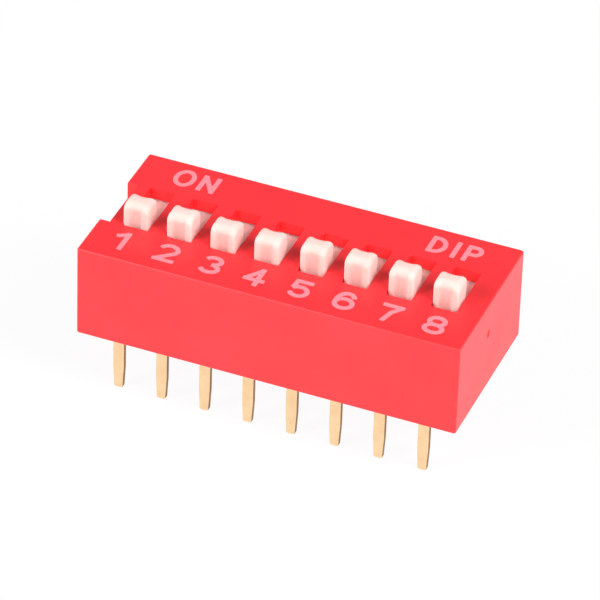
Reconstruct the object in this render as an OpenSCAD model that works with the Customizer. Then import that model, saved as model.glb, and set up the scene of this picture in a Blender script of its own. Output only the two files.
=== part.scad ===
// Eight-way slide switch in a dual in-line body, for a 2.54 mm board grid.
// Origin: middle of the seating plane, where the body stands on the board.
// X runs along the row of positions, from the notched end (position 1) to position 8.
// Y points from the figures (off) to the words (on). Z points up. All lengths in mm.

/* [Lead grid] */
// Spacing of neighbouring leads, which is also the spacing of the positions
pitch = 2.54; // [2.4:0.02:3]
// Spacing of the two rows of leads
row_spacing = 7.62; // [7.5:0.02:10.16]

/* [Housing] */
// Height of the top face above the board
body_h = 5.6; // [4.9:0.1:8]
// Thickness of the end walls beside the outer channels
end_wall = 1.11; // [0.9:0.01:3]
// Distance from the middle of a row of leads out to the long side of the housing
row_margin = 1.09; // [1.02:0.01:2]
// Thickness of the long side walls
side_wall = 0.5; // [0.4:0.05:0.6]
// Thickness of the roof over the sliders
roof = 0.7; // [0.4:0.05:1]
// Width of the channel that guides each slider
channel_w = 2; // [1.9:0.05:2.2]
// Radius along the top edges
edge_r = 0.15; // [0.05:0.05:0.4]
// Radius down the upright corners
corner_r = 0.15; // [0.05:0.05:0.4]

/* [Windows] */
// Width of each window in the roof
window_w = 1.5; // [1.3:0.05:1.7]
// Length of each window along the travel
window_l = 3.8; // [3.2:0.1:3.9]

/* [Orientation notch and gate mark] */
// Width of the notch in the end beside position 1
notch_w = 3.8; // [1:0.1:6]
// Depth of the notch into the end wall
notch_d = 0.63; // [0.2:0.01:0.8]
// Diameter of the round gate mark in the other end
gate_d = 0.8; // [0.4:0.1:2]
// Depth of the gate mark
gate_depth = 0.05; // [0.05:0.05:0.5]
// Distance of the gate mark in front of the middle of that end
gate_front = 0.4; // [0:0.05:2]
// Height of the gate mark above the board
gate_z = 3.6; // [2:0.05:4]

/* [Base] */
// Height of the base that carries the terminals
base_h = 2.3; // [2:0.05:2.6]
// Gap all round between the base and the inside of the housing
base_fit = 0.03; // [0.01:0.01:0.08]
// How far each snap lug stands out from the base
lug_out = 0.15; // [0.1:0.01:0.25]
// Length of each snap lug
lug_l = 1.6; // [0.8:0.1:3]
// Height of each snap lug's slope
lug_h = 0.5; // [0.3:0.05:0.8]
// Height of the snap lugs' catching edge above the board
lug_z = 1; // [0.5:0.05:1.2]
// Gap around a snap lug in its recess
lug_gap = 0.05; // [0.02:0.01:0.1]

/* [Terminals] */
// Thickness of the strip that the terminals are stamped from
lead_t = 0.3; // [0.2:0.02:0.36]
// Width of each lead below the housing
lead_w = 0.65; // [0.4:0.05:0.8]
// Length of each lead below the seating plane
lead_l = 3.75; // [2.5:0.05:5]
// Length of the tapered end of each lead
taper_l = 1.4; // [0.5:0.1:2.4]
// Width of each lead at its tip
tip_w = 0.5; // [0.3:0.02:0.6]
// Radius of the tip's corners
tip_r = 0.1; // [0.02:0.02:0.14]
// Width of each terminal inside the base and at its contact pad
pad_w = 1; // [0.85:0.05:1.4]
// Height of the shoulder where the lead widens inside the base
shoulder_z = 0.5; // [0.3:0.05:1]
// Inside radius of the bend from the lead to the contact pad
bend_r = 0.15; // [0.05:0.05:0.3]
// Insulating gap between the two contact pads of a position
pad_gap = 0.8; // [0.5:0.05:1.2]

/* [Sliders] */
// Gap between a slider and the channel, roof and base that guide it
slide_gap = 0.03; // [0.01:0.01:0.06]
// Gap left between a slider's end and the housing at each end of the travel
stop_gap = 0.03; // [0.02:0.01:0.1]
// Thickness of the slider's plate under the roof
plate_t = 0.8; // [0.5:0.05:1]
// Thickness of the carriage's end walls around its contact
pocket_wall = 0.5; // [0.3:0.05:0.6]

/* [Knobs] */
// Length of the knob along the travel
knob_l = 1.3; // [1.2:0.05:1.6]
// Height of the knob above the top face
knob_h = 1.42; // [0.6:0.02:2.5]
// Gap at each side between the knob and its window
knob_side_gap = 0.03; // [0.02:0.01:0.1]
// Gap between the knob and the window's end at each end of the travel
knob_end_gap = 0.05; // [0.03:0.01:0.2]
// Radius over the knob's front and rear top edges
knob_top_r = 0.45; // [0.1:0.05:0.5]
// Radius over the knob's side top edges
knob_side_r = 0.28; // [0.04:0.02:0.3]
// Radius down the knob's upright edges
knob_corner_r = 0.1; // [0.04:0.02:0.16]
// Radius of the finger groove down the knob's front and rear faces
groove_r = 0.6; // [0.4:0.05:0.8]
// Depth of each finger groove, level with the top face
groove_d = 0.19; // [0.05:0.01:0.24]
// Depth of each finger groove at the top of the knob
groove_top_d = 0.07; // [0.01:0.01:0.24]

/* [Sliding contacts] */
// Thickness of the contact spring
spring_t = 0.12; // [0.08:0.01:0.16]
// Width of the contact spring
spring_w = 1; // [0.8:0.05:1.1]
// Outside radius of the curled feet
foot_r = 0.25; // [0.2:0.01:0.3]
// Gap between a foot and the contact pads that it wipes
foot_gap = 0.02; // [0.01:0.01:0.04]
// How far a foot stands on a pad past the insulating gap
foot_lap = 0.3; // [0.2:0.05:0.4]
// Length of the spring's flat crown
crown_l = 1.1; // [1:0.05:1.3]
// Width of the slot that splits each leg into two fingers
split_w = 0.16; // [0.1:0.02:0.3]
// Diameter of the peg that holds the spring
peg_d = 0.4; // [0.3:0.02:0.5]
// Gap around the peg in the spring's hole
peg_gap = 0.02; // [0.01:0.01:0.05]
// Diameter of the peg's formed head
peg_head_d = 0.64; // [0.6:0.02:0.8]
// Thickness of the peg's formed head
peg_head_t = 0.12; // [0.08:0.02:0.2]
// Gap between the spring and the pocket's side walls
pocket_gap = 0.05; // [0.03:0.01:0.08]

/* [Marking] */
// Height of the printed figures
figure_h = 1.62; // [1:0.02:1.8]
// Height of the printed letters
letter_h = 1.5; // [1:0.02:1.8]
// Width of the printed strokes
stroke_w = 0.28; // [0.15:0.01:0.35]
// Thickness of the ink
ink_t = 0.02; // [0.01:0.01:0.05]
// Distance from the front edge to the middle of the figures
figure_inset = 1.54; // [1.2:0.02:1.8]
// Distance from the rear edge to the middle of the words
word_inset = 1.5; // [1.2:0.02:1.8]
// Extra spacing of the figures over the spacing of the positions
figure_creep = 0.03; // [0:0.01:0.05]
// Shift of the row of figures toward position 8
figure_shift = 0.07; // [-0.2:0.01:0.2]
// Clear space between the letters of a word
letter_gap = 0.36; // [0.2:0.02:0.5]
// Turn of the whole print on the top face, in degrees
print_turn = -0.4; // [-1:0.1:1]

/* [Hidden] */
$fn = 48;
eps = 0.01;
positions = 8;
// positions from the middle of the body out to the middle of each word
word_steps = 3;
// positions from the middle of the body out to each snap lug
lug_steps = 2;
// how far each slider stands back from its off stop; the last four aren't pushed home
set_back = [0, 0, 0, 0, 0.28, 0.28, 0.28, 0.28];

rib_t = pitch - channel_w;
inner_l = positions * pitch - rib_t;
body_l = inner_l + 2 * end_wall;
body_w = row_spacing + 2 * row_margin;
inner_w = body_w - 2 * side_wall;
roof_z = body_h - roof;

base_l = inner_l - 2 * base_fit;
base_w = inner_w - 2 * base_fit;

knob_w = window_w - 2 * knob_side_gap;
travel = window_l - knob_l - 2 * knob_end_gap;
slider_w = channel_w - 2 * slide_gap;
slider_l = inner_w - travel - 2 * stop_gap;
groove_lean = atan((groove_d - groove_top_d) / knob_h);
plate_top = roof_z - slide_gap;
plate_z = plate_top - plate_t;
carriage_z = base_h + slide_gap;

// both feet stand on the front pad when off, and one on each pad when on
feet_span = travel;
feet_y = -(pad_gap / 2 + foot_lap);
pocket_w = spring_w + 2 * pocket_gap;
pocket_l = feet_span + 2 * foot_r + 4 * pocket_gap;
carriage_l = pocket_l + 2 * pocket_wall;

function position_x(k) = (k - (positions + 1) / 2) * pitch;
function slider_y(k) = -travel / 2 + set_back[k - 1];
function is_drawn(name) = node == "all" || node == name;

NODES = concat(
    ["cover", "base"],
    [for (k = [1:positions]) str("terminal_front_", k)],
    [for (k = [1:positions]) str("terminal_rear_", k)],
    [for (k = [1:positions]) str("slider_", k)],
    [for (k = [1:positions]) str("contact_", k)],
    ["mark_figures", "mark_on", "mark_dip"]
);
node = "all";

// ---- shared outlines ----

// Rectangle centred on X that stands on Y = 0, with its two upper corners rounded
module round_topped(width, height, r) {
    translate([-width / 2, 0]) square([width, height - r]);
    translate([-width / 2 + r, 0]) square([width - 2 * r, height]);
    for (side = [-1, 1]) translate([side * (width / 2 - r), height - r]) circle(r);
}

// Rectangle centred on the origin, with all four corners rounded
module round_cornered(length, width, r) {
    square([length - 2 * r, width], center = true);
    square([length, width - 2 * r], center = true);
    for (x = [-1, 1], y = [-1, 1])
        translate([x * (length / 2 - r), y * (width / 2 - r)]) circle(r);
}

// Turns an outline drawn in Y and Z into a bar of the given width along X
module along_x(width) {
    rotate([90, 0, 90]) linear_extrude(width, center = true) children();
}

// Turns an outline drawn in X and Z into a bar of the given depth along Y
module along_y(depth) {
    rotate([90, 0, 0]) linear_extrude(depth, center = true) children();
}

// ---- housing ----

// Outside of the housing: a block with rounded top edges and upright corners
module housing_block() {
    intersection() {
        linear_extrude(body_h) round_cornered(body_l, body_w, corner_r);
        along_x(body_l) round_topped(body_w, body_h, edge_r);
        along_y(body_w) round_topped(body_l, body_h, edge_r);
    }
}

// Channel for one slider, from the base up to the roof, with its window
module channel() {
    translate([-channel_w / 2, -inner_w / 2, base_h - eps])
        cube([channel_w, inner_w, roof_z - base_h + eps]);
    translate([-window_w / 2, -window_l / 2, roof_z - eps])
        cube([window_w, window_l, roof + 2 * eps]);
}

// Places its children at the four snap lugs, with +Y pointing outwards
module at_lugs() {
    for (x = [-1, 1], side = [0, 1])
        mirror([0, side, 0]) translate([x * lug_steps * pitch, base_w / 2, lug_z]) children();
}

module cover() {
    color("#e0242a") difference() {
        housing_block();
        translate([-inner_l / 2, -inner_w / 2, -eps]) cube([inner_l, inner_w, base_h + eps]);
        for (k = [1:positions]) translate([position_x(k), 0, 0]) channel();
        at_lugs()
            translate([-lug_l / 2 - lug_gap, -base_fit, -lug_gap])
                cube([lug_l + 2 * lug_gap, lug_out + lug_gap + base_fit, lug_h + 2 * lug_gap]);
        translate([-body_l / 2 - eps, -notch_w / 2, -eps])
            cube([notch_d + eps, notch_w, body_h + 2 * eps]);
        translate([body_l / 2 - gate_depth, -gate_front, gate_z])
            rotate([0, 90, 0]) cylinder(d = gate_d, h = gate_depth + eps);
    }
}

// ---- base and terminals ----

module base() {
    color("#c01c22") difference() {
        union() {
            translate([-base_l / 2, -base_w / 2, 0]) cube([base_l, base_w, base_h]);
            at_lugs() along_x(lug_l)
                polygon([[-eps, 0], [lug_out, 0], [0, lug_h], [-eps, lug_h]]);
        }
        for (k = [1:positions], rear = [0, 1])
            translate([position_x(k), 0, 0]) mirror([0, rear, 0]) terminal_solid();
    }
}

// Outline across X of a lead and of the wider blade above it, from its tip upwards
module lead_outline() {
    taper_z = taper_l - lead_l;
    tip_z = tip_r - lead_l;
    polygon([
        [-lead_w / 2, taper_z], [-tip_w / 2, tip_z], [tip_w / 2, tip_z],
        [lead_w / 2, taper_z], [lead_w / 2, shoulder_z + eps], [-lead_w / 2, shoulder_z + eps],
    ]);
    for (side = [-1, 1]) translate([side * (tip_w / 2 - tip_r), tip_z]) circle(tip_r);
    translate([-tip_w / 2 + tip_r, -lead_l]) square([tip_w - 2 * tip_r, tip_r + eps]);
    translate([-pad_w / 2, shoulder_z]) square([pad_w, base_h - shoulder_z]);
}

// Outline across Y of the strip: up the lead, round the bend and along the contact pad
module strip_outline() {
    outer_r = bend_r + lead_t;
    y = -row_spacing / 2 - lead_t / 2;
    translate([y, -lead_l]) square([lead_t, lead_l + base_h - outer_r]);
    translate([y + outer_r, base_h - lead_t]) square([-pad_gap / 2 - y - outer_r, lead_t]);
    translate([y + outer_r, base_h - outer_r]) intersection() {
        difference() {
            circle(outer_r);
            circle(bend_r);
        }
        translate([-outer_r, 0]) square(outer_r);
    }
}

// Terminal of the front row, for the position at X = 0
module terminal_solid() {
    intersection() {
        along_y(row_spacing + 2 * lead_t) lead_outline();
        along_x(pad_w) strip_outline();
    }
}

module terminal(k, rear) {
    color("#e3bd74") translate([position_x(k), 0, 0]) mirror([0, rear, 0]) terminal_solid();
}

// ---- sliders ----

// Knob with rounded top edges and a finger groove down its front and rear faces;
// the grooves run out toward the top
module knob() {
    height = body_h + knob_h - plate_top;
    difference() {
        intersection() {
            linear_extrude(height) round_cornered(knob_w, knob_l, knob_corner_r);
            along_y(knob_l) round_topped(knob_w, height, knob_side_r);
            along_x(knob_w) round_topped(knob_l, height, knob_top_r);
        }
        for (side = [-1, 1])
            translate([0, side * (knob_l / 2 + groove_r - groove_d), body_h - plate_top])
                rotate([-side * groove_lean, 0, 0])
                    cylinder(r = groove_r, h = 3 * height, center = true);
    }
}

// Slider with its knob at Y = 0: plate under the roof, and a carriage around its contact
module slider_solid() {
    translate([0, 0, plate_top - eps]) knob();
    translate([-slider_w / 2, -slider_l / 2, plate_z]) cube([slider_w, slider_l, plate_t]);
    difference() {
        translate([-slider_w / 2, feet_y - carriage_l / 2, carriage_z])
            cube([slider_w, carriage_l, plate_z - carriage_z + eps]);
        translate([-pocket_w / 2, feet_y - pocket_l / 2, carriage_z - eps])
            cube([pocket_w, pocket_l, plate_z - carriage_z + eps]);
    }
    translate([0, feet_y, plate_z - spring_t]) {
        cylinder(d = peg_d, h = spring_t + eps);
        translate([0, 0, -peg_head_t]) cylinder(d = peg_head_d, h = peg_head_t);
    }
}

module slider(k) {
    color("#f6ece6") translate([position_x(k), slider_y(k), 0]) slider_solid();
}

// ---- sliding contacts ----

// Bar of the spring's thickness between two points of its outline, with round ends
module spring_bar(from, to) {
    run = to - from;
    translate(from) {
        rotate(atan2(run[1], run[0])) translate([0, -spring_t / 2]) square([norm(run), spring_t]);
        circle(d = spring_t);
    }
    translate(to) circle(d = spring_t);
}

// Half of the spring's outline: crown, sloping leg and curled foot, about Y = 0
module spring_half() {
    foot_z = base_h + foot_gap + foot_r;
    mid_r = foot_r - spring_t / 2;
    crown_z = plate_z - spring_t / 2;
    translate([-eps, plate_z - spring_t]) square([crown_l / 2 + eps, spring_t]);
    spring_bar([crown_l / 2, crown_z], [feet_span / 2 - mid_r, foot_z]);
    translate([feet_span / 2, foot_z]) difference() {
        circle(foot_r);
        circle(foot_r - spring_t);
        translate([-foot_r - eps, 0]) square([2 * foot_r + 2 * eps, foot_r + eps]);
    }
}

// Bridging contact under a slider: crown on the peg, and two legs split into fingers
module contact_solid() {
    split_top = plate_z - 2 * spring_t;
    translate([0, feet_y, 0]) difference() {
        along_x(spring_w) {
            spring_half();
            mirror([1, 0]) spring_half();
        }
        translate([0, 0, plate_z - spring_t - eps])
            cylinder(d = peg_d + 2 * peg_gap, h = spring_t + 2 * eps);
        translate([-split_w / 2, -pocket_l / 2, base_h])
            cube([split_w, pocket_l, split_top - base_h]);
    }
}

module contact(k) {
    color("#d8a850") translate([position_x(k), slider_y(k), 0]) contact_solid();
}

// ---- marking ----

function unit_left(v) = [-v[1], v[0]] / norm(v);
function step(path, i) = path[i + 1] - path[i];
// Sideways unit of a path at one of its points, lengthened at a corner to keep the width
function sideways(path, i) =
    let (a = unit_left(step(path, max(i - 1, 0))), b = unit_left(step(path, min(i, len(path) - 2))))
    (a + b) / (1 + a * b);
function arc(centre, rx, ry, from, to, steps = 12) =
    [for (i = [0:steps]) let (a = from + (to - from) * i / steps) centre + [rx * cos(a), ry * sin(a)]];

// Stroke of the printed width along a path
module stroke(path) {
    half = stroke_w / 2;
    last = len(path) - 1;
    polygon(concat(
        [for (i = [0:last]) path[i] + half * sideways(path, i)],
        [for (i = [last:-1:0]) path[i] - half * sideways(path, i)]
    ));
}

// Closed oval stroke with the given outside half width and half height
module oval(centre, rx, ry) {
    translate(centre) difference() {
        polygon(arc([0, 0], rx, ry, 0, 345, 23));
        polygon(arc([0, 0], rx - stroke_w, ry - stroke_w, 0, 345, 23));
    }
}

// Half height and half width of the figures' middle lines
tall = (figure_h - stroke_w) / 2;
wide = tall * 0.72;

module glyph_1() {
    stroke([[0.05, -figure_h / 2], [0.05, figure_h / 2]]);
    stroke([[-wide - stroke_w / 4, tall * 0.5], [0.05 - stroke_w / 4, tall * 0.9]]);
}

module glyph_2() {
    stroke(concat(arc([0, tall * 0.42], wide, tall * 0.58, 170, -35), [[-wide * 0.9, -tall * 0.94]]));
    stroke([[-wide - stroke_w / 2, -tall], [wide + stroke_w / 2, -tall]]);
}

module glyph_3() {
    stroke(arc([0, tall * 0.52], wide * 0.9, tall * 0.48, 165, -90));
    stroke(arc([0, -tall * 0.5], wide, tall * 0.5, 90, -165));
}

module glyph_4() {
    stem = wide * 0.42;
    bar = -tall * 0.42;
    stroke([[stem, -figure_h / 2], [stem, figure_h / 2]]);
    stroke([[-wide - stroke_w / 2, bar], [wide + stroke_w / 2, bar]]);
    stroke([[stem, tall], [-wide, bar]]);
}

module glyph_5() {
    stroke([[wide + stroke_w / 4, tall * 0.94], [-wide * 0.72, tall * 0.94], [-wide * 0.86, 0]]);
    stroke(arc([0, -tall * 0.38], wide, tall * 0.62, 150, -160));
}

module glyph_6() {
    oval([0, -tall * 0.38], wide + stroke_w / 2, tall * 0.62 + stroke_w / 2);
    stroke(concat(arc([0, 0], wide, tall, 30, 180), [[-wide, -tall * 0.38]]));
}

module glyph_7() {
    stroke([[-wide - stroke_w / 2, tall * 0.93], [wide + stroke_w / 2, tall * 0.93]]);
    stroke([[wide, tall * 0.93], [wide * 0.1, tall * 0.1], [-wide * 0.4, -figure_h / 2]]);
}

module glyph_8() {
    oval([0, tall * 0.5], wide * 0.88 + stroke_w / 2, tall * 0.5 + stroke_w / 2);
    oval([0, -tall * 0.48], wide + stroke_w / 2, tall * 0.52 + stroke_w / 2);
}

module figure(k) {
    if (k == 1) glyph_1();
    if (k == 2) glyph_2();
    if (k == 3) glyph_3();
    if (k == 4) glyph_4();
    if (k == 5) glyph_5();
    if (k == 6) glyph_6();
    if (k == 7) glyph_7();
    if (k == 8) glyph_8();
}

// Half height of the letters' middle lines, and the width and the gap of a letter N
letter_tall = (letter_h - stroke_w) / 2;
letter_w = letter_h * 0.69;
o_w = letter_h * 0.84;
on_gap = letter_gap * 0.75;

// Upright letter stem with its left edge at X = 0
module stem() {
    translate([0, -letter_h / 2]) square([stroke_w, letter_h]);
}

module letter_o() {
    oval([o_w / 2, 0], o_w / 2, letter_h * 0.53);
}

module letter_n() {
    stem();
    translate([letter_w - stroke_w, 0]) stem();
    stroke([[stroke_w / 2, letter_tall], [letter_w - stroke_w / 2, -letter_tall]]);
}

// Bowl that closes a letter's stem on the right, between two heights
module bowl(right, low, high) {
    middle = (low + high) / 2;
    rise = (high - low) / 2;
    stroke(concat(
        [[stroke_w / 2, low]],
        arc([right - rise * 0.9, middle], rise * 0.9, rise, -90, 90),
        [[stroke_w / 2, high]]
    ));
}

module letter_d() {
    stem();
    bowl(letter_w - stroke_w / 2, -letter_tall, letter_tall);
}

module letter_p() {
    stem();
    bowl(letter_w * 0.95 - stroke_w / 2, -letter_tall * 0.1, letter_tall);
}

// Lays a flat outline on the top face as a film of ink
module ink(x, y) {
    color("#f4b9bf") rotate([0, 0, print_turn]) translate([x, y, body_h]) linear_extrude(ink_t)
        children();
}

module mark_figures() {
    for (k = [1:positions])
        ink(
            position_x(k) * (1 + figure_creep / pitch) + figure_shift,
            -body_w / 2 + figure_inset
        ) figure(k);
}

module mark_on() {
    x = -word_steps * pitch - (o_w + on_gap + letter_w) / 2;
    y = body_w / 2 - word_inset;
    ink(x, y) letter_o();
    ink(x + o_w + on_gap, y) letter_n();
}

module mark_dip() {
    i_x = letter_w + letter_gap;
    p_x = i_x + stroke_w + letter_gap;
    x = word_steps * pitch - (p_x + letter_w) / 2;
    y = body_w / 2 - word_inset;
    ink(x, y) letter_d();
    ink(x + i_x, y) stem();
    ink(x + p_x, y) letter_p();
}

if (is_drawn("cover")) cover();
if (is_drawn("base")) base();
for (k = [1:positions]) {
    if (is_drawn(str("terminal_front_", k))) terminal(k, 0);
    if (is_drawn(str("terminal_rear_", k))) terminal(k, 1);
    if (is_drawn(str("slider_", k))) slider(k);
    if (is_drawn(str("contact_", k))) contact(k);
}
if (is_drawn("mark_figures")) mark_figures();
if (is_drawn("mark_on")) mark_on();
if (is_drawn("mark_dip")) mark_dip();
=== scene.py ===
import math

import bpy
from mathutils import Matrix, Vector


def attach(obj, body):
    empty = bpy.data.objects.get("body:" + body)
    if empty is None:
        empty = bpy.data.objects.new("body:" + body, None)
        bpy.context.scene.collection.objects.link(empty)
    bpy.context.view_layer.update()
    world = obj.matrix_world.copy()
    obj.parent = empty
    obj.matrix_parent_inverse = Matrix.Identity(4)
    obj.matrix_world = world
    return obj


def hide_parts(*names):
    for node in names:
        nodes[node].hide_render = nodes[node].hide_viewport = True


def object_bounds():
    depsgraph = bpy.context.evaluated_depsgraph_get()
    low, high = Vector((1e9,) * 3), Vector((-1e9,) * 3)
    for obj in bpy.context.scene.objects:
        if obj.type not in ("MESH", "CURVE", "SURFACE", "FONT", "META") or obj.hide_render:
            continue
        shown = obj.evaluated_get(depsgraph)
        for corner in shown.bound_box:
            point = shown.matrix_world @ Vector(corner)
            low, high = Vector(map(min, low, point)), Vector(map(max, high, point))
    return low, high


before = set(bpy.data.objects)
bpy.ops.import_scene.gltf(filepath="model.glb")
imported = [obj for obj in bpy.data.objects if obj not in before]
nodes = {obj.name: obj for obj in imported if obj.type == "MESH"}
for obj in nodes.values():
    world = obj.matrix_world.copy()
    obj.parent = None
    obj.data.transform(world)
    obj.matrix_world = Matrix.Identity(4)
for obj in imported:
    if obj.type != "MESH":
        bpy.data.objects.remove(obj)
cad_low, cad_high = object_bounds()

# ---- Camera ----
# A long lens looks down on the front from 0.29 m, a little toward position 8, so that the top, the
# front and one end all show and parallel edges stay nearly parallel.
camera = bpy.data.objects.new("camera", bpy.data.cameras.new("camera"))
bpy.context.scene.collection.objects.link(camera)
camera.location = (0.082749, -0.215522, 0.172683)
camera.rotation_euler = [math.radians(turn) for turn in (53.538, -1.608, 22.181)]
camera.data.lens = 318.5
camera.data.sensor_width = 36
camera.data.clip_start = 0.01
camera.data.clip_end = 10
bpy.context.scene.camera = camera
bpy.context.scene.view_settings.view_transform = "Standard"

# ---- Base ----
# The base is a flat block of glass-filled polyester, injection moulded around the terminals and
# pushed up into the housing until its four lugs snap in. It is duller and darker than the cover.
MM = 0.001  # the pieces' sizes are in millimetres, and a finished piece is brought to metres
FLOW_MARK, FLOW_DRAWN = 3, 5 / 3  # the flow marks' width, and how many times longer they are
MOULD_GRAIN, GRAIN_RELIEF = 0.07, 0.01  # the real grain is 0.02 mm: drawn coarser, to show
GLOSS_DRIFT = 0.02
GLOW_DEPTH, GLOW_BY_COLOUR = 0.8, (1.0, 0.8, 0.7)  # red light goes further into the plastic


def linear(hex_colour):
    """The linear RGBA of an sRGB hex colour such as '#e0242a'."""
    parts = [int(hex_colour[i:i + 2], 16) / 255 for i in (1, 3, 5)]
    return [c / 12.92 if c <= 0.04045 else ((c + 0.055) / 1.055) ** 2.4 for c in parts] + [1]


def add_node(tree, kind, inputs=None, **settings):
    """Adds a node. Each of its inputs gets a value, or a link from another node's socket."""
    node = tree.nodes.new(kind)
    for name, value in settings.items():
        setattr(node, name, value)
    for socket, value in (inputs or {}).items():
        if isinstance(value, bpy.types.NodeSocket):
            tree.links.new(value, node.inputs[socket])
        else:
            node.inputs[socket].default_value = value
    return node


def moulded_plastic(name, colour, deep_colour, roughness, index, grain, glow=0.0):
    """An injection-moulded plastic. Its colour drifts a little over a few millimetres, as pigment
    does in a flow, and the mould's spark-eroded skin leaves a fine grain on it."""
    material = bpy.data.materials.new(name)
    material.use_nodes = True
    tree = material.node_tree
    tree.nodes.clear()
    place = add_node(tree, "ShaderNodeTexCoord").outputs["Object"]
    # flow marks: soft clouds, drawn out a little along X
    flow_place = add_node(tree, "ShaderNodeMapping", {
        "Vector": place, "Scale": (1 / FLOW_DRAWN, 1, 1)})
    flow = add_node(tree, "ShaderNodeTexNoise", {
        "Vector": flow_place.outputs["Vector"], "Scale": 1 / (FLOW_MARK * MM), "Detail": 3,
        "Roughness": 0.5})
    skin = add_node(tree, "ShaderNodeTexNoise", {
        "Vector": place, "Scale": 1 / (MOULD_GRAIN * MM), "Detail": 2, "Roughness": 0.6})
    drift = add_node(tree, "ShaderNodeMapRange", {
        "Value": flow.outputs["Fac"], "From Min": 0.3, "From Max": 0.7, "To Min": 0.0,
        "To Max": 1.0})
    tint = add_node(tree, "ShaderNodeMix", {
        0: drift.outputs["Result"], 6: linear(colour), 7: linear(deep_colour)}, data_type="RGBA")
    sheen = add_node(tree, "ShaderNodeMapRange", {
        "Value": flow.outputs["Fac"], "From Min": 0.3, "From Max": 0.7,
        "To Min": roughness - GLOSS_DRIFT, "To Max": roughness + GLOSS_DRIFT})
    bump = add_node(tree, "ShaderNodeBump", {
        "Height": skin.outputs["Fac"], "Strength": grain, "Distance": GRAIN_RELIEF * MM})
    body = add_node(tree, "ShaderNodeBsdfPrincipled", {
        "Base Color": tint.outputs[2], "Roughness": sheen.outputs["Result"], "IOR": index,
        "Normal": bump.outputs["Normal"]})
    if glow:
        # light goes most of a millimetre into an unpigmented plastic, which softens its shading
        body.inputs["Subsurface Weight"].default_value = glow
        body.inputs["Subsurface Radius"].default_value = GLOW_BY_COLOUR
        body.inputs["Subsurface Scale"].default_value = GLOW_DEPTH * MM
    add_node(tree, "ShaderNodeOutputMaterial", {"Surface": body.outputs["BSDF"]})
    return material


def dress(node_name, material):
    """Gives a CAD node its finish."""
    mesh = nodes[node_name].data
    mesh.materials.clear()
    mesh.materials.append(material)


# the glass in it leaves a dull skin
dress("base", moulded_plastic(
    "moulded_polyester_dull_red", "#d8222a", "#cc1c24", roughness=0.52, index=1.55, grain=0.5))

# ---- Terminals ----
# Each terminal is stamped from 0.3 mm brass strip and flash-plated with gold, then bent over at
# the top into the pad that the slider's contact wipes. The die leaves the cut sides rough, dull and
# bare; their brown is also drawn darker than bare brass, as painted shade.
LEAD_T, LEAD_W, LEAD_L = 0.3, 0.65, 3.75
TAPER_L, TIP_W, TIP_R = 1.4, 0.5, 0.1
BLADE_W, SHOULDER_Z = 1.0, 0.5
BASE_H, BEND_R, PAD_GAP = 2.3, 0.15, 0.8
LEAD_EDGE_R = 0.03
POSITIONS, PITCH, ROW_SPACING = range(1, 9), 2.54, 7.62
TOUCH = 1e-4  # places closer than this are the same


def lone(piece):
    """Makes a piece the only selected and the active object."""
    bpy.ops.object.select_all(action="DESELECT")
    piece.select_set(True)
    bpy.context.view_layer.objects.active = piece


def block(name, low, high):
    """A rectangular block between two corners."""
    bpy.ops.object.select_all(action="DESELECT")
    bpy.ops.mesh.primitive_cube_add(size=1, location=[(a + b) / 2 for a, b in zip(low, high)])
    piece = bpy.context.active_object
    piece.name = name
    piece.scale = [b - a for a, b in zip(low, high)]
    bpy.ops.object.transform_apply(location=True, rotation=True, scale=True)
    return piece


def pick(piece, kind, test):
    """Leaves a piece in edit mode with its vertices, edges or faces selected that pass a test.
    The test gets the places of the element's corners."""
    lone(piece)
    bpy.ops.object.mode_set(mode="EDIT")
    bpy.ops.mesh.select_mode(type=kind)
    bpy.ops.mesh.select_all(action="DESELECT")
    bpy.ops.object.mode_set(mode="OBJECT")
    mesh = piece.data
    places = [v.co.copy() for v in mesh.vertices]
    if kind == "VERT":
        for vertex in mesh.vertices:
            vertex.select = test([places[vertex.index]])
    else:
        for element in mesh.edges if kind == "EDGE" else mesh.polygons:
            element.select = test([places[i] for i in element.vertices])
    bpy.ops.object.mode_set(mode="EDIT")


def all_at(points, axis, value):
    """Whether all points lie at a value along an axis."""
    return all(abs(p[axis] - value) < TOUCH for p in points)


def out_of_edit():
    bpy.ops.object.mode_set(mode="OBJECT")


def rounded(piece, test, radius, steps):
    """Rounds the edges of a piece that pass a test."""
    pick(piece, "EDGE", test)
    bpy.ops.mesh.bevel(offset=radius, segments=steps, affect="EDGES")
    out_of_edit()


def with_modifier(piece, kind, **settings):
    """Puts a modifier on a piece and applies it."""
    lone(piece)
    modifier = piece.modifiers.new(kind.lower(), kind)
    for name, value in settings.items():
        setattr(modifier, name, value)
    bpy.ops.object.modifier_apply(modifier=modifier.name)


def broken_edges(piece, radius, steps=2, from_angle=35):
    """Breaks every sharp edge of a piece with a small radius, as tooling and handling do."""
    with_modifier(piece, "BEVEL", width=radius, segments=steps, limit_method="ANGLE",
                  angle_limit=math.radians(from_angle), use_clamp_overlap=True)


def tidied(piece):
    """Merges doubled vertices and points every face outwards."""
    lone(piece)
    bpy.ops.object.mode_set(mode="EDIT")
    bpy.ops.mesh.select_all(action="SELECT")
    bpy.ops.mesh.remove_doubles(threshold=TOUCH)
    bpy.ops.mesh.normals_make_consistent(inside=False)
    out_of_edit()


def smoothed(piece, angle=30):
    """Shades a piece smooth up to an angle, with its flat faces kept flat."""
    lone(piece)
    bpy.ops.object.shade_smooth_by_angle(angle=math.radians(angle))
    with_modifier(piece, "WEIGHTED_NORMAL", mode="FACE_AREA", keep_sharp=True)


def in_metres(piece):
    """Brings a finished piece from millimetres to metres, in its mesh."""
    lone(piece)
    piece.scale = (MM, MM, MM)
    bpy.ops.object.transform_apply(location=True, rotation=True, scale=True)


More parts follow.
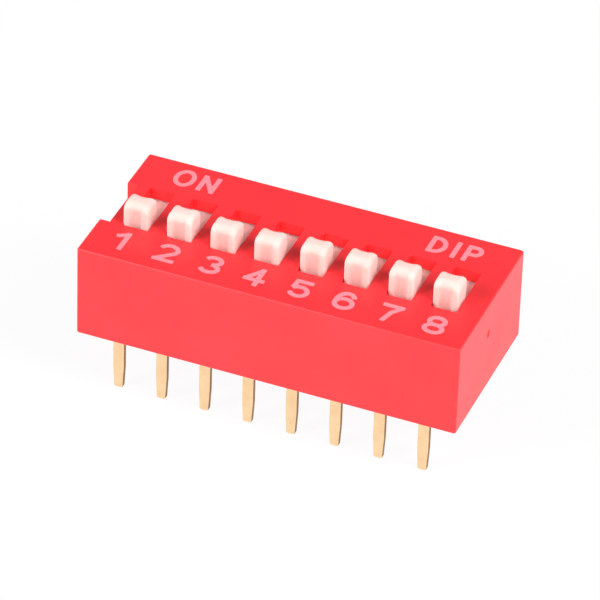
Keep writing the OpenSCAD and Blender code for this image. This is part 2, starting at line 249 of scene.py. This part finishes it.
def placed_copy(piece, name, turn, shift):
    """A copy of a piece with its own mesh, turned about Z and shifted, its place in its mesh."""
    lone(piece)
    bpy.ops.object.duplicate()
    twin = bpy.context.active_object
    twin.name = name
    twin.rotation_euler = (0, 0, turn)
    twin.location = shift
    bpy.ops.object.transform_apply(location=True, rotation=True, scale=True)
    return twin


def position_x(k):
    return (k - (POSITIONS[0] + POSITIONS[-1]) / 2) * PITCH


def grown(value):
    """Extrudes the selected faces by a vector."""
    bpy.ops.mesh.extrude_region_move(TRANSFORM_OT_translate={"value": value})


def widened(factor):
    """Scales the selected faces along X about the middle of the strip."""
    bpy.ops.transform.resize(value=(factor, 1, 1), center_override=(0, -ROW_SPACING / 2, 0))


# the strip grows from its tip: taper, lead, shoulder, blade, bend and pad
strip_y = -ROW_SPACING / 2
bpy.ops.object.select_all(action="DESELECT")
bpy.ops.mesh.primitive_plane_add(size=1, location=(0, strip_y, -LEAD_L))
terminal = bpy.context.active_object
terminal.scale = (TIP_W, LEAD_T, 1)
bpy.ops.object.transform_apply(location=True, rotation=True, scale=True)
bpy.ops.object.mode_set(mode="EDIT")
bpy.ops.mesh.select_mode(type="FACE")
bpy.ops.mesh.select_all(action="SELECT")
grown((0, 0, TAPER_L))
widened(LEAD_W / TIP_W)
grown((0, 0, LEAD_L - TAPER_L + SHOULDER_Z))
grown((0, 0, 0))
widened(BLADE_W / LEAD_W)
bend_z = BASE_H - BEND_R - LEAD_T
bend_y = strip_y + LEAD_T / 2 + BEND_R
grown((0, 0, bend_z - SHOULDER_Z))
bpy.ops.mesh.spin(steps=8, angle=-math.pi / 2, center=(0, bend_y, bend_z), axis=(1, 0, 0))
grown((0, -PAD_GAP / 2 - bend_y, 0))
out_of_edit()
tidied(terminal)
rounded(terminal, lambda p: all_at(p, 2, -LEAD_L) and all_at(p, 0, p[0].x), TIP_R, 4)


ROLL_LINE, ROLL_DRAWN, ROLL_RELIEF = 0.05, 20, 0.004  # fine lines, 1 mm long, left by the rolls
LINE_SHINE, LINE_DULL = 0.03, 0.04  # how far the lines shift the roughness, down and up
FLASH_PATCH = 0.6  # over this length the flash is thicker in some places than in others


def stamped_strip(name, colour, worn_colour, roughness, brushed):
    """Rolled brass strip, flash-plated or as the die cut it: a metal with a fine brushed sheen."""
    material = bpy.data.materials.new(name)
    material.use_nodes = True
    tree = material.node_tree
    tree.nodes.clear()
    place = add_node(tree, "ShaderNodeTexCoord").outputs["Object"]
    along = add_node(tree, "ShaderNodeMapping", {"Vector": place, "Scale": (1, 1, 1 / ROLL_DRAWN)})
    lines = add_node(tree, "ShaderNodeTexNoise", {
        "Vector": along.outputs["Vector"], "Scale": 1 / (ROLL_LINE * MM), "Detail": 3})
    patches = add_node(tree, "ShaderNodeTexNoise", {
        "Vector": place, "Scale": 1 / (FLASH_PATCH * MM), "Detail": 2})
    thin = add_node(tree, "ShaderNodeMapRange", {
        "Value": patches.outputs["Fac"], "From Min": 0.35, "From Max": 0.75})
    tint = add_node(tree, "ShaderNodeMix", {
        0: thin.outputs["Result"], 6: linear(colour), 7: linear(worn_colour)}, data_type="RGBA")
    sheen = add_node(tree, "ShaderNodeMapRange", {
        "Value": lines.outputs["Fac"], "From Min": 0.3, "From Max": 0.7,
        "To Min": roughness - LINE_SHINE, "To Max": roughness + LINE_DULL})
    bump = add_node(tree, "ShaderNodeBump", {
        "Height": lines.outputs["Fac"], "Strength": brushed, "Distance": ROLL_RELIEF * MM})
    body = add_node(tree, "ShaderNodeBsdfPrincipled", {
        "Base Color": tint.outputs[2], "Roughness": sheen.outputs["Result"], "Metallic": 1.0,
        "Normal": bump.outputs["Normal"]})
    add_node(tree, "ShaderNodeOutputMaterial", {"Surface": body.outputs["BSDF"]})
    return material


gold_flash = stamped_strip(
    "gold_flashed_brass_strip", "#ffdcae", "#f9d1a2", roughness=0.3, brushed=0.12)
# the cut sides are bare brass, drawn darker still: painted shade for the dark space under the body
# that they mirror
bare_cut_edge_and_painted_shade = stamped_strip("sheared_brass_edge_painted_shade", "#a87a50", "#8f6642", roughness=0.5, brushed=0.8)
terminal.data.materials.append(gold_flash)
terminal.data.materials.append(bare_cut_edge_and_painted_shade)
# no sheared side leans further than the taper does
pick(terminal, "FACE",
     lambda p: max(v.x for v in p) - min(v.x for v in p) < (LEAD_W - TIP_W) / 2 + TOUCH
     and abs(p[0].x) > (TIP_W - TIP_R) / 2)
terminal.active_material_index = 1
bpy.ops.object.material_slot_assign()
out_of_edit()
broken_edges(terminal, LEAD_EDGE_R)
smoothed(terminal)
for row, turn in (("front", 0), ("rear", math.pi)):
    for k in POSITIONS:
        pin = placed_copy(terminal, f"pin_{row}_{k}", turn, (position_x(k), 0, 0))
        in_metres(pin)
        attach(pin, "housing")
        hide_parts(f"terminal_{row}_{k}")
bpy.data.objects.remove(terminal)

# ---- Contact springs ----
# A bridging spring sits under each slider, formed from thin copper alloy strip with the same
# gold flash. Its two split legs press on the pads, and only the knob above it ever shows.
for k in POSITIONS:
    dress(f"contact_{k}", gold_flash)

# ---- Sliders ----
# Each slider is one moulding of unpigmented polyamide, whose knob stands up through its window:
# a soft-edged block with a finger groove down its front and rear faces.
KNOB_W, KNOB_L, KNOB_H = 1.44, 1.3, 1.42
KNOB_TOP_R, KNOB_SIDE_R, KNOB_CORNER_R = 0.45, 0.27, 0.1
TOP_STEPS, SIDE_STEPS = 7, 4  # facets across the first two of those radii
GROOVE_REACH, GROOVE_D, GROOVE_TOP_D = 0.45, 0.19, 0.07
KNOB_SLICE = 0.07  # the knob is cut this fine across, for its grooves to be pressed in
KNOB_ROOT = 0.3  # how far the knob reaches down into its plate
BODY_H, ROOF, SLIDE_GAP, PLATE_GAP = 5.6, 0.7, 0.03, 0.008  # the plate rides up to the roof
PLATE_T, PLATE_EDGE_R, SLIDER_W, SLIDER_L = 0.8, 0.05, 1.94, 6.34
TRAVEL, NOT_HOME = 2.4, 0.28
STOOD_OFF = range(5, 9)  # these sliders stand NOT_HOME short of their off stop
FEET_Y, CARRIAGE_L, POCKET_W, POCKET_L = -0.7, 4.1, 1.1, 3.1
PEG_R, PEG_HEAD_R, PEG_HEAD_T, SPRING_T = 0.2, 0.32, 0.12, 0.12
BITE = 0.1  # how far two blocks reach into each other where they are joined

plate_top = BODY_H - ROOF - PLATE_GAP
plate_z = plate_top - PLATE_T
carriage_z = BASE_H + SLIDE_GAP
knob_top = BODY_H + KNOB_H


def groove_depth(x, z):
    """Depth of the finger groove across and up the knob: a round hollow that runs out softly at
    its sides and grows shallower toward the top."""
    depth = GROOVE_D + (GROOVE_TOP_D - GROOVE_D) * (z - BODY_H) / KNOB_H
    return depth * (1 - (x / GROOVE_REACH) ** 4) ** 2


knob_foot = plate_top - KNOB_ROOT
knob = block("knob", (-KNOB_W / 2, -KNOB_L / 2, knob_foot), (KNOB_W / 2, KNOB_L / 2, knob_top))
slices_each_side = int(GROOVE_REACH / KNOB_SLICE)
slices = [i * KNOB_SLICE for i in range(-slices_each_side, slices_each_side + 1)]
for x in slices:
    lone(knob)
    bpy.ops.object.mode_set(mode="EDIT")
    bpy.ops.mesh.select_all(action="SELECT")
    bpy.ops.mesh.bisect(plane_co=(x, 0, 0), plane_no=(1, 0, 0))
    out_of_edit()
for x in slices:
    for side in (-1, 1):
        for z in (knob_foot, knob_top):
            pick(knob, "VERT", lambda p: (p[0] - Vector((x, side * KNOB_L / 2, z))).length < TOUCH)
            bpy.ops.transform.translate(value=(0, -side * groove_depth(x, z), 0))
            out_of_edit()
rounded(knob, lambda p: all_at(p, 2, knob_top) and not all_at(p, 0, p[0].x)
        and min(abs(q.y) for q in p) > KNOB_L / 4, KNOB_TOP_R, TOP_STEPS)
rounded(knob, lambda p: (all_at(p, 0, KNOB_W / 2) or all_at(p, 0, -KNOB_W / 2))
        and max(q.z for q in p) > plate_top, KNOB_SIDE_R, SIDE_STEPS)
# that left the upright corners as round as the top: draw them out, less and less round the arc
arc_y, arc_z = KNOB_L / 2 - KNOB_TOP_R, knob_top - KNOB_TOP_R
half_step = math.pi / 4 / TOP_STEPS
for step in range(1, TOP_STEPS + 1):
    turn = math.pi / 2 * step / TOP_STEPS
    scale = 1 + (KNOB_CORNER_R / KNOB_SIDE_R - 1) * math.sin(turn) ** 2
    if step == TOP_STEPS:
        def in_ring(q):
            return q.z < arc_z + TOUCH
    else:
        def in_ring(q):
            return (q.z > arc_z + TOUCH
                    and abs(math.atan2(abs(q.y) - arc_y, q.z - arc_z) - turn) < half_step)
    for x_side in (-1, 1):
        for y_side in (-1, 1):
            pick(knob, "VERT", lambda p: p[0].x * x_side > KNOB_W / 2 - KNOB_SIDE_R - TOUCH
                 and p[0].y * y_side > arc_y - KNOB_SIDE_R and in_ring(p[0]))
            bpy.ops.transform.resize(
                value=(scale, scale, 1 if step == TOP_STEPS else scale),
                center_override=(x_side * KNOB_W / 2,
                                 y_side * (arc_y + KNOB_TOP_R * math.sin(turn)),
                                 arc_z + KNOB_TOP_R * math.cos(turn)))
            out_of_edit()

plate = block("plate", (-SLIDER_W / 2, -SLIDER_L / 2, plate_z),
              (SLIDER_W / 2, SLIDER_L / 2, plate_top))
carriage = block("carriage", (-SLIDER_W / 2, FEET_Y - CARRIAGE_L / 2, carriage_z),
                 (SLIDER_W / 2, FEET_Y + CARRIAGE_L / 2, plate_z + BITE))
pocket = block("pocket", (-POCKET_W / 2, FEET_Y - POCKET_L / 2, carriage_z - BITE),
               (POCKET_W / 2, FEET_Y + POCKET_L / 2, plate_z))


def joined(piece, other, operation):
    """Adds another block to a piece, or cuts it away."""
    with_modifier(piece, "BOOLEAN", object=other, operation=operation, solver="EXACT")
    bpy.data.objects.remove(other)


joined(plate, carriage, "UNION")
joined(plate, pocket, "DIFFERENCE")
broken_edges(plate, PLATE_EDGE_R)
joined(plate, knob, "UNION")
for radius, bottom, top in ((PEG_R, plate_z - SPRING_T - PEG_HEAD_T / 2, plate_z + BITE),
                            (PEG_HEAD_R, plate_z - SPRING_T - PEG_HEAD_T, plate_z - SPRING_T)):
    bpy.ops.object.select_all(action="DESELECT")
    bpy.ops.mesh.primitive_cylinder_add(
        vertices=32, radius=radius, depth=top - bottom, location=(0, FEET_Y, (top + bottom) / 2))
    peg = bpy.context.active_object
    bpy.ops.object.transform_apply(location=True, rotation=True, scale=True)
    joined(plate, peg, "UNION")
tidied(plate)
smoothed(plate)
# unpigmented and matt: light that goes in comes out again beside it
# its white is tinted pink: painted red light, standing in for what the red cover throws onto the
# knobs
plate.data.materials.append(moulded_plastic(
    "moulded_polyamide_white_with_painted_red_bounce", "#f8d4ce", "#f3ccc4", roughness=0.7, index=1.4, grain=0.35,
    glow=1.0))
for k in POSITIONS:
    rest_y = -TRAVEL / 2 + (NOT_HOME if k in STOOD_OFF else 0)
    slider = placed_copy(plate, f"switch_slider_{k}", 0, (position_x(k), rest_y, 0))
    in_metres(slider)
    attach(slider, f"switch_{k}")
    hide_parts(f"slider_{k}")
bpy.data.objects.remove(plate)

# ---- Cover ----
# The cover is the red housing, one thin-walled moulding in semi-gloss polyester: open below for
# the base, with a channel and a window for each slider and a notch in the end beside position 1.
BODY_L, BODY_W = 22.0, 9.8
EDGE_R, CUT_EDGE_R = 0.15, 0.04
INNER_L, INNER_W = 19.78, 8.8
CHANNEL_W, WINDOW_W, WINDOW_L = 2.0, 1.5, 3.8
NOTCH_W, NOTCH_D = 3.8, 0.63
GATE_R, GATE_DEPTH, GATE_Y, GATE_Z = 0.45, 0.09, -0.4, 3.6  # a shallow dimple where it broke off
LUG_X, LUG_HALF_L, LUG_Z, LUG_H, RECESS_D = 5.08, 0.85, 0.95, 0.6, 0.17
PAST, RECESS_PAST = 0.5, 0.2  # how far a cutter reaches past the face that it opens

cover = block("cover_shell", (-BODY_L / 2, -BODY_W / 2, 0), (BODY_L / 2, BODY_W / 2, BODY_H))
rounded(cover, lambda p: all_at(p, 2, BODY_H) or not all_at(p, 2, p[0].z), EDGE_R, 5)
joined(cover, block("cavity", (-INNER_L / 2, -INNER_W / 2, -PAST),
                    (INNER_L / 2, INNER_W / 2, BASE_H)), "DIFFERENCE")
joined(cover, block("notch", (-BODY_L / 2 - PAST, -NOTCH_W / 2, -PAST),
                    (-BODY_L / 2 + NOTCH_D, NOTCH_W / 2, BODY_H + PAST)), "DIFFERENCE")
for k in POSITIONS:
    x = position_x(k)
    joined(cover, block("channel", (x - CHANNEL_W / 2, -INNER_W / 2, BASE_H - PAST),
                        (x + CHANNEL_W / 2, INNER_W / 2, BODY_H - ROOF)), "DIFFERENCE")
    joined(cover, block("window", (x - WINDOW_W / 2, -WINDOW_L / 2, BODY_H - ROOF - PAST),
                        (x + WINDOW_W / 2, WINDOW_L / 2, BODY_H + PAST)), "DIFFERENCE")
for x in (-LUG_X, LUG_X):
    for side in (-1, 1):
        near, far = side * (INNER_W / 2 - RECESS_PAST), side * (INNER_W / 2 + RECESS_D)
        joined(cover, block("recess", (x - LUG_HALF_L, min(near, far), LUG_Z),
                            (x + LUG_HALF_L, max(near, far), LUG_Z + LUG_H)), "DIFFERENCE")
bpy.ops.object.select_all(action="DESELECT")
bpy.ops.mesh.primitive_uv_sphere_add(
    segments=48, ring_count=24, radius=GATE_R,
    location=(BODY_L / 2 - GATE_DEPTH + GATE_R, GATE_Y, GATE_Z), rotation=(0, math.pi / 2, 0))
gate = bpy.context.active_object
bpy.ops.object.transform_apply(location=True, rotation=True, scale=True)
joined(cover, gate, "DIFFERENCE")
tidied(cover)
broken_edges(cover, CUT_EDGE_R)
smoothed(cover)
# a polished mould gives it a soft sheen, in which the knobs show faintly
cover.data.materials.append(moulded_plastic(
    "moulded_polyester_semi_gloss_red", "#ff3138", "#fa2c34", roughness=0.36, index=1.5,
    grain=0.35))
in_metres(cover)
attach(cover, "housing")
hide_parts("cover")

# ---- Marking ----
# The figures and the two words are pad-printed in white ink on the finished cover. The film is
# thin, so the red shines through it and turns it pink.
INK_SPOT, INK_RELIEF = 0.12, 0.004  # thin spots, where more of the red comes through
INK_CORNER_R = 0.055  # the ink draws back from sharp corners

ink = bpy.data.materials.new("pad_printed_white_ink")
ink.use_nodes = True
tree = ink.node_tree
tree.nodes.clear()
place = add_node(tree, "ShaderNodeTexCoord").outputs["Object"]
spots = add_node(tree, "ShaderNodeTexNoise", {
    "Vector": place, "Scale": 1 / (INK_SPOT * MM), "Detail": 3})
thin = add_node(tree, "ShaderNodeMapRange", {
    "Value": spots.outputs["Fac"], "From Min": 0.35, "From Max": 0.7})
tint = add_node(tree, "ShaderNodeMix", {
    0: thin.outputs["Result"], 6: linear("#f894a0"), 7: linear("#f5828d")}, data_type="RGBA")
film = add_node(tree, "ShaderNodeBump", {
    "Height": spots.outputs["Fac"], "Strength": 0.3, "Distance": INK_RELIEF * MM})
body = add_node(tree, "ShaderNodeBsdfPrincipled", {
    "Base Color": tint.outputs[2], "Roughness": 0.5, "IOR": 1.5, "Normal": film.outputs["Normal"]})
add_node(tree, "ShaderNodeOutputMaterial", {"Surface": body.outputs["BSDF"]})


def corner_places(piece, angle):
    """The places in X and Y where the upright sides of a piece meet at more than an angle."""
    sides = {}
    for face in piece.data.polygons:
        if abs(face.normal.z) < 0.1:
            for i in face.vertices:
                place = piece.data.vertices[i].co
                sides.setdefault((round(place.x, 2), round(place.y, 2)), []).append(face.normal)
    return {place for place, normals in sides.items()
            if any(normals[0].angle(normal) > angle for normal in normals[1:])}


for node_name, name in (("mark_figures", "printed_figures"), ("mark_on", "printed_on"),
                        ("mark_dip", "printed_dip")):
    print_piece = bpy.data.objects.new(name, nodes[node_name].data.copy())
    bpy.context.scene.collection.objects.link(print_piece)
    lone(print_piece)
    print_piece.scale = (1 / MM, 1 / MM, 1 / MM)
    bpy.ops.object.transform_apply(location=True, rotation=True, scale=True)
    tidied(print_piece)
    bpy.ops.object.mode_set(mode="EDIT")
    bpy.ops.mesh.select_all(action="SELECT")
    bpy.ops.mesh.dissolve_limited(angle_limit=math.radians(1))
    out_of_edit()
    corners = corner_places(print_piece, math.radians(35))
    rounded(print_piece, lambda p: not all_at(p, 2, p[0].z)
            and (round(p[0].x, 2), round(p[0].y, 2)) in corners, INK_CORNER_R, 3)
    smoothed(print_piece)
    print_piece.data.materials.clear()
    print_piece.data.materials.append(ink)
    in_metres(print_piece)
    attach(print_piece, "housing")
    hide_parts(node_name)

# ---- Studio ----
# A plain pale floor under the lead tips and a white backdrop round a dim room, with two large soft
# boxes: the key over the end beside position 8, a fill in front on the left. The sizes are metres.
FLOOR_SIZE, BACKDROP_SHARE = 3, 0.94  # the rest of the floor's look is paper with a soft shadow
ROOM_LIGHT = 0.27
BACKDROP_TOP, ROOM_FROM = 0.1, 0.35  # heights on a unit sphere: about 6 and 20 degrees up
LAMP_SIZE = 0.22


def seen_ray(tree):
    """1 for the rays that show a surface, straight, mirrored or refracted; 0 for the others."""
    rays = add_node(tree, "ShaderNodeLightPath")
    seen = add_node(tree, "ShaderNodeMath", {
        0: rays.outputs["Is Camera Ray"], 1: rays.outputs["Is Glossy Ray"]}, operation="MAXIMUM")
    seen_too = add_node(tree, "ShaderNodeMath", {
        0: seen.outputs[0], 1: rays.outputs["Is Transmission Ray"]}, operation="MAXIMUM")
    return seen_too.outputs[0]


bpy.ops.object.select_all(action="DESELECT")
bpy.ops.mesh.primitive_plane_add(size=FLOOR_SIZE, location=(0, 0, cad_low.z))
floor = bpy.context.active_object
floor.name = "floor"
white = bpy.data.materials.new("white_paper_floor")
white.use_nodes = True
tree = white.node_tree
tree.nodes.clear()
share = add_node(tree, "ShaderNodeMath", {
    0: seen_ray(tree), 1: BACKDROP_SHARE}, operation="MULTIPLY")
paper = add_node(tree, "ShaderNodeBsdfDiffuse", {"Color": linear("#f4f4f4")})
glow = add_node(tree, "ShaderNodeEmission", {"Color": (1, 1, 1, 1), "Strength": 1.0})
mixed = add_node(tree, "ShaderNodeMixShader", {
    0: share.outputs[0], 1: paper.outputs["BSDF"], 2: glow.outputs["Emission"]})
add_node(tree, "ShaderNodeOutputMaterial", {"Surface": mixed.outputs["Shader"]})
floor.data.materials.append(white)

world = bpy.data.worlds.new("surround")
bpy.context.scene.world = world
world.use_nodes = True
tree = world.node_tree
tree.nodes.clear()
height = add_node(tree, "ShaderNodeSeparateXYZ", {
    0: add_node(tree, "ShaderNodeTexCoord").outputs["Generated"]})
backdrop = add_node(tree, "ShaderNodeMapRange", {
    "Value": height.outputs["Z"], "From Min": BACKDROP_TOP, "From Max": ROOM_FROM, "To Min": 1.0,
    "To Max": ROOM_LIGHT})
strength = add_node(tree, "ShaderNodeMix", {
    0: seen_ray(tree), 2: ROOM_LIGHT, 3: backdrop.outputs["Result"]})
surround = add_node(tree, "ShaderNodeBackground", {
    "Color": (1, 1, 1, 1), "Strength": strength.outputs[0]})
add_node(tree, "ShaderNodeOutputWorld", {"Surface": surround.outputs["Background"]})


def soft_lamp(name, place, power):
    """A square soft box that faces the object."""
    lamp = bpy.data.objects.new(name, bpy.data.lights.new(name, "AREA"))
    bpy.context.scene.collection.objects.link(lamp)
    lamp.data.size = LAMP_SIZE
    lamp.data.energy = power
    lamp.location = place
    lamp.rotation_euler = (-Vector(place)).to_track_quat("-Z", "Y").to_euler()


soft_lamp("soft_box_right", (0.379, -0.109, 0.355), 2.5)
soft_lamp("soft_box_left", (-0.298, -0.355, 0.257), 2.1)
